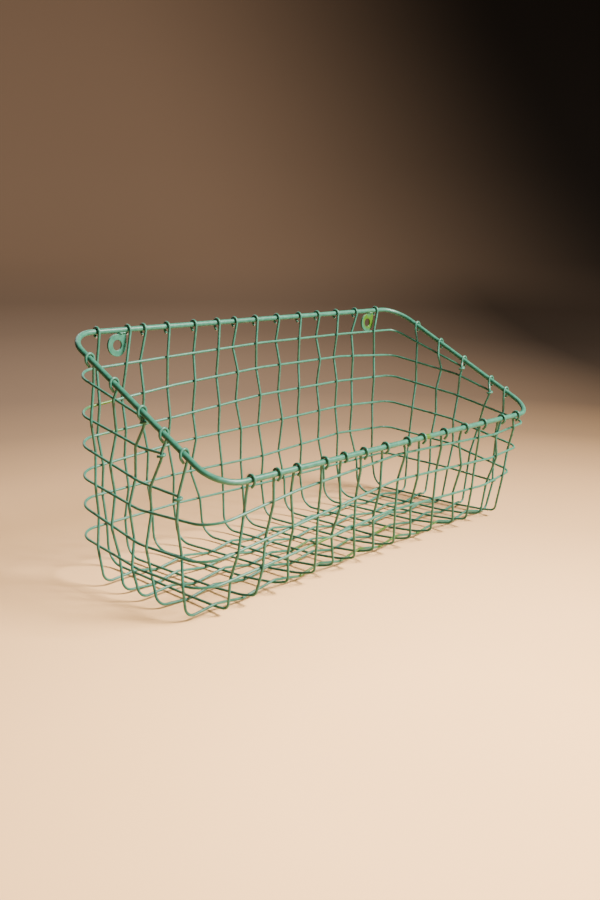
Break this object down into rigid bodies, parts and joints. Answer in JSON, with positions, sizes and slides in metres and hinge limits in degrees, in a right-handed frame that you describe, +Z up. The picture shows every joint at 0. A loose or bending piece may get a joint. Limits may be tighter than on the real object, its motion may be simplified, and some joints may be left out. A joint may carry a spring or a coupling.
{
  "type": "wire locker basket",
  "caption": "Long wall-hung wire basket with a thick sloping rim rod, a hand-woven mesh of thin hooked wires, a low front and flat hanging eyelets at the back.",
  "frame": {"origin": "on the floor under the middle of the rim", "axes": "+X along the basket to its right end as seen from the front, -Y out of the low front, +Z up"},
  "size_m": [0.4673, 0.2023, 0.2198],
  "materials": {
    "green_powder_coat": "semi-gloss powder coat"
  },
  "bodies": {
    "root": {"rim_rod": "green_powder_coat", "left_hanging_eyelet": "green_powder_coat", "right_hanging_eyelet": "green_powder_coat", "upper_hoop_wire": "green_powder_coat", "second_hoop_wire": "green_powder_coat", "spiral_hoop_wire": "green_powder_coat", "cross_wire_01": "green_powder_coat", "cross_wire_02": "green_powder_coat", "cross_wire_03": "green_powder_coat", "cross_wire_04": "green_powder_coat", "cross_wire_05": "green_powder_coat", "cross_wire_06": "green_powder_coat", "cross_wire_07": "green_powder_coat", "cross_wire_08": "green_powder_coat", "cross_wire_09": "green_powder_coat", "cross_wire_10": "green_powder_coat", "cross_wire_11": "green_powder_coat", "cross_wire_12": "green_powder_coat", "cross_wire_13": "green_powder_coat", "cross_wire_14": "green_powder_coat", "long_wire_1": "green_powder_coat", "long_wire_2": "green_powder_coat", "long_wire_3": "green_powder_coat", "long_wire_4": "green_powder_coat", "long_wire_5": "green_powder_coat"}
  },
  "joints": []
}
